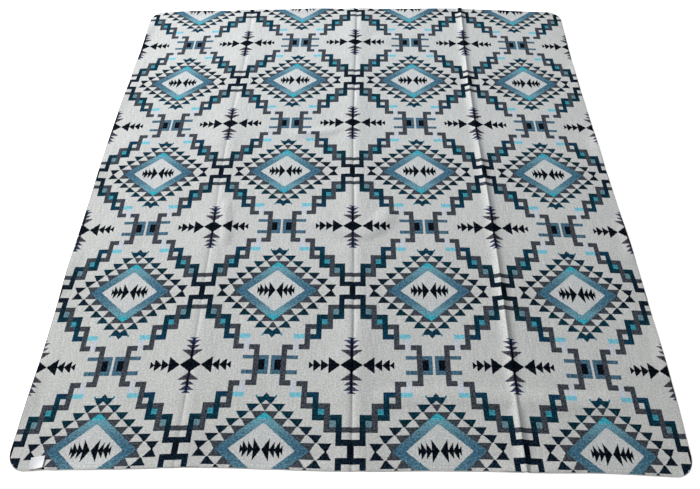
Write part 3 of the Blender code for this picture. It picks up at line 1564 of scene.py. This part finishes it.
@dataclass
class CornerLabel:
    """Small woven label sewn on the near left corner, a little turned, with its right edge curled up."""

    lay: Lay
    width: float = 0.044
    length: float = 0.037
    thickness: float = 0.0008
    turn: float = radians(6)
    place: tuple[float, float] = (-0.940, -1.1415)
    gap: float = 0.0003
    curl: float = 0.0026
    steps: int = 36
    fold: float = 0.005
    fold_height: float = 0.0003
    fold_reach: float = 1.5
    stitch_inset: float = 0.0022
    stitch_length: float = 0.0024
    stitch_pitch: float = 0.0038
    stitch_radius: float = 0.00028
    stitch_sink: float = 0.6
    stitched_to: float = 0.4

    def cloth_places(self, across: Array, along: Array) -> tuple[Array, Array]:
        """Cloth coordinates of places on the label, in metres from its middle.

        Args:
            across: Distance across the label from its middle.
            along: Distance along it.

        Returns:
            Cloth coordinates across and along.
        """
        turn_cos, turn_sin = np.cos(self.turn), np.sin(self.turn)
        x = self.place[0] + across * turn_cos - along * turn_sin
        y = self.place[1] + across * turn_sin + along * turn_cos
        return x, y

    def underside(self, across: Array, along: Array) -> Array:
        """Points on the label's underside: over the cloth by the gap, with the curl and the folded ends.

        Args:
            across: Distance across the label from its middle.
            along: Distance along it.

        Returns:
            Points, with a last axis of three.
        """
        x, y = self.cloth_places(across, along)
        from_end = self.width / 2 - np.abs(across)
        folded = self.fold_height * ease(self.fold_reach - from_end / self.fold)
        curled = self.curl * ease(across / self.width + 0.5) ** 2
        cloth_top = self.lay.underside(x, y) + self.lay.thickness
        return self.lay.on_floor(x, y, cloth_top + self.gap + folded + curled)

    def build_tape(self) -> bpy.types.Object:
        """Make the label's tape.

        Returns:
            The tape.
        """
        steps = np.linspace(-0.5, 0.5, self.steps + 1)
        across, along = np.meshgrid(steps, steps)
        places = np.stack([across + 0.5, along + 0.5], axis=-1)
        points = self.underside(across * self.width, along * self.length)
        item = Surface(points, places, places).build("label_tape", LabelSatin().material())
        solidify = item.modifiers.new("Tape thickness", "SOLIDIFY")
        solidify.thickness = self.thickness
        solidify.offset = 1.0
        return item

    def stitch_places(self) -> Array:
        """Middle and direction of each stitch: up the left side, and along the far and the near side.

        Returns:
            A row for each stitch: across and along the label, and its angle.
        """
        half_width = self.width / 2 - self.stitch_inset
        half_length = self.length / 2 - self.stitch_inset
        side = np.arange(-half_length, half_length, self.stitch_pitch)
        ends = np.arange(-half_width, -half_width * self.stitched_to, self.stitch_pitch)
        left = np.stack([np.full_like(side, -half_width), side, np.full_like(side, np.pi / 2)], axis=-1)
        far = np.stack([ends, np.full_like(ends, half_length), np.zeros_like(ends)], axis=-1)
        near = np.stack([ends, np.full_like(ends, -half_length), np.zeros_like(ends)], axis=-1)
        return np.concatenate((left, far, near))

    def build_stitches(self) -> bpy.types.Object:
        """Make the stitches: short arched threads, each a closed tube that thins to nothing at its ends.

        Along a stitch its height is a half circle's, and its radius the same, so its ends dive into the
        tape.

        Returns:
            All stitches as one object.
        """
        along_steps, round_steps = 8, 6
        along = np.linspace(-1, 1, along_steps + 1)
        angle = np.linspace(0, 2 * np.pi, round_steps, endpoint=False)
        along, angle = np.meshgrid(along, angle, indexing="ij")
        arch = np.sqrt(np.clip(1 - along**2, 0, 1))
        reach = along * self.stitch_length / 2
        aside = self.stitch_radius * arch * np.cos(angle)
        up = self.stitch_radius * (arch * (1 + np.sin(angle)) - self.stitch_sink)
        tubes = []
        for middle_x, middle_y, turn in self.stitch_places():
            across = middle_x + reach * np.cos(turn) - aside * np.sin(turn)
            back = middle_y + reach * np.sin(turn) + aside * np.cos(turn)
            base = self.underside(across, back)
            tubes.append(base + np.array((0, 0, 1)) * (up + self.thickness)[..., None])
        first = np.arange(along_steps)[:, None] * round_steps + np.arange(round_steps)
        second = np.arange(along_steps)[:, None] * round_steps + (np.arange(round_steps) + 1) % round_steps
        quads = np.stack([first, first + round_steps, second + round_steps, second], axis=-1).reshape(-1, 4)
        size = (along_steps + 1) * round_steps
        faces = (np.arange(len(tubes))[:, None, None] * size + quads).reshape(-1, 4)
        mesh = bpy.data.meshes.new("label_stitches")
        mesh.from_pydata(np.array(tubes).reshape(-1, 3), [], faces)
        mesh.materials.append(SewingThread().material())
        mesh.shade_smooth()
        item = bpy.data.objects.new("label_stitches", mesh)
        bpy.context.collection.objects.link(item)
        return item


@dataclass(frozen=True)
class SewingThread:
    """Off-white sewing thread with a slight lustre."""

    name: str = "sewing thread"
    colour: Rgb = seen(214, 212, 206)
    roughness: float = 0.6
    specular: float = 0.4
    twist_pitch: float = 0.0006
    # Depth of the painted shade in the twist's bands.
    shade: float = 0.12

    def material(self) -> bpy.types.Material:
        """Build the finish: painted shade in bands along the thread's twist, on object coordinates.

        Returns:
            The material.
        """
        material, shader = new_material(self.name)
        nodes = material.node_tree.nodes
        source = nodes.new("ShaderNodeTexCoord")
        split = nodes.new("ShaderNodeSeparateXYZ")
        feed(split.inputs[0], source.outputs["Object"])
        slanted = Wire(split.outputs[0]) + Wire(split.outputs[1])
        twist = (slanted * (2 * np.pi / self.twist_pitch)).sine()
        paint = Paint.plain(twist, self.colour)
        # Painted shade: darker bands where the twist's plies would be shaded.
        paint.shaded(twist * self.shade + (1 - self.shade))
        surfaced(shader, paint, self.roughness, self.specular, 0.0)
        return material


@dataclass(frozen=True)
class Lamp:
    """Square soft light at a place, turned towards a target."""

    name: str
    place: Point
    target: Point
    size: float
    power: float
    colour: Rgb

    def build(self) -> None:
        """Add the light."""
        data = bpy.data.lights.new(self.name, "AREA")
        data.shape = "SQUARE"
        data.size = self.size
        data.energy = self.power
        data.color = self.colour
        item = bpy.data.objects.new(self.name, data)
        item.location = self.place
        item.rotation_euler = (Vector(self.target) - Vector(self.place)).to_track_quat("-Z", "Y").to_euler()
        bpy.context.collection.objects.link(item)


@dataclass
class Studio:
    """Plain pale floor, soft light from the far left and over the far rows, and the camera."""

    floor_half: float = 30.0
    floor_drop: float = 0.0006
    floor_colour: Rgb = (0.9, 0.9, 0.9)
    floor_glow: float = 0.8
    floor_roughness: float = 0.9
    floor_specular: float = 0.1
    ambient: float = 0.20
    camera_place: Point = (0.0146, -1.6973, 1.9215)
    camera_turn: Point = (radians(35.492), radians(0.326), radians(0.519))
    lens: float = 32.16
    sensor: float = 36.0
    key: Lamp = field(default_factory=lambda: Lamp(
        "key", (-6.7, 5.3, 4.1), (0.0, 0.0, 0.0), 3.0, 1424.0, (1.0, 0.99, 0.98)
    ))
    sky: Lamp = field(default_factory=lambda: Lamp(
        "sky", (-0.3, 1.3, 2.2), (-0.1, 0.4, 0.0), 1.6, 8.25, (0.45, 0.68, 1.0)
    ))

    def build_floor(self) -> None:
        """Add the floor, which glows a little so that it stays near white away from the light."""
        material, shader = new_material("pale floor")
        feed(shader.inputs["Base Color"], (*self.floor_colour, 1))
        feed(shader.inputs["Roughness"], self.floor_roughness)
        feed(shader.inputs["Specular IOR Level"], self.floor_specular)
        feed(shader.inputs["Emission Color"], (1, 1, 1, 1))
        feed(shader.inputs["Emission Strength"], self.floor_glow)
        half, low = self.floor_half, -self.floor_drop
        mesh = bpy.data.meshes.new("floor")
        corners = [(-half, -half, low), (half, -half, low), (half, half, low), (-half, half, low)]
        mesh.from_pydata(corners, [], [(0, 1, 2, 3)])
        mesh.materials.append(material)
        floor = bpy.data.objects.new("floor", mesh)
        bpy.context.collection.objects.link(floor)

    def build_light(self) -> None:
        """Add the soft key light, a cool one over the far rows and an even surrounding light."""
        self.key.build()
        self.sky.build()
        world = bpy.data.worlds.new("soft surround")
        world.use_nodes = True
        background = world.node_tree.nodes["Background"]
        feed(background.inputs["Color"], (1, 1, 1, 1))
        feed(background.inputs["Strength"], self.ambient)
        bpy.context.scene.world = world
        bpy.context.scene.view_settings.view_transform = "Standard"

    def build_camera(self) -> None:
        """Add the camera at the photograph's viewing angle."""
        data = bpy.data.cameras.new("camera")
        data.sensor_fit = "HORIZONTAL"
        data.sensor_width = self.sensor
        data.lens = self.lens
        camera = bpy.data.objects.new("camera", data)
        camera.location = self.camera_place
        camera.rotation_euler = self.camera_turn
        bpy.context.collection.objects.link(camera)
        bpy.context.scene.camera = camera

    def build(self) -> None:
        """Add floor, light and camera."""
        self.build_floor()
        self.build_light()
        self.build_camera()


def report(item: bpy.types.Object) -> None:
    """Log a piece's name and its number of faces."""
    LOG.info("%s: %d faces", item.name, len(item.data.polygons))


def main() -> None:
    """Build every piece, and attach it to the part."""
    logging.basicConfig(level=logging.INFO, format="%(message)s")
    lay = Lay()
    face, reverse = WovenPanel(lay).build()
    edge = EdgeOverlock(lay).build()
    label = CornerLabel(lay)
    tape = label.build_tape()
    stitches = label.build_stitches()
    for item in (face, reverse, edge, tape, stitches):
        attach(item, "root")
        report(item)
    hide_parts("blanket")
    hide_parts("corner_label")
    Studio().build()
    LOG.info("studio: floor, light and camera")


if __name__ == "__main__":
    main()
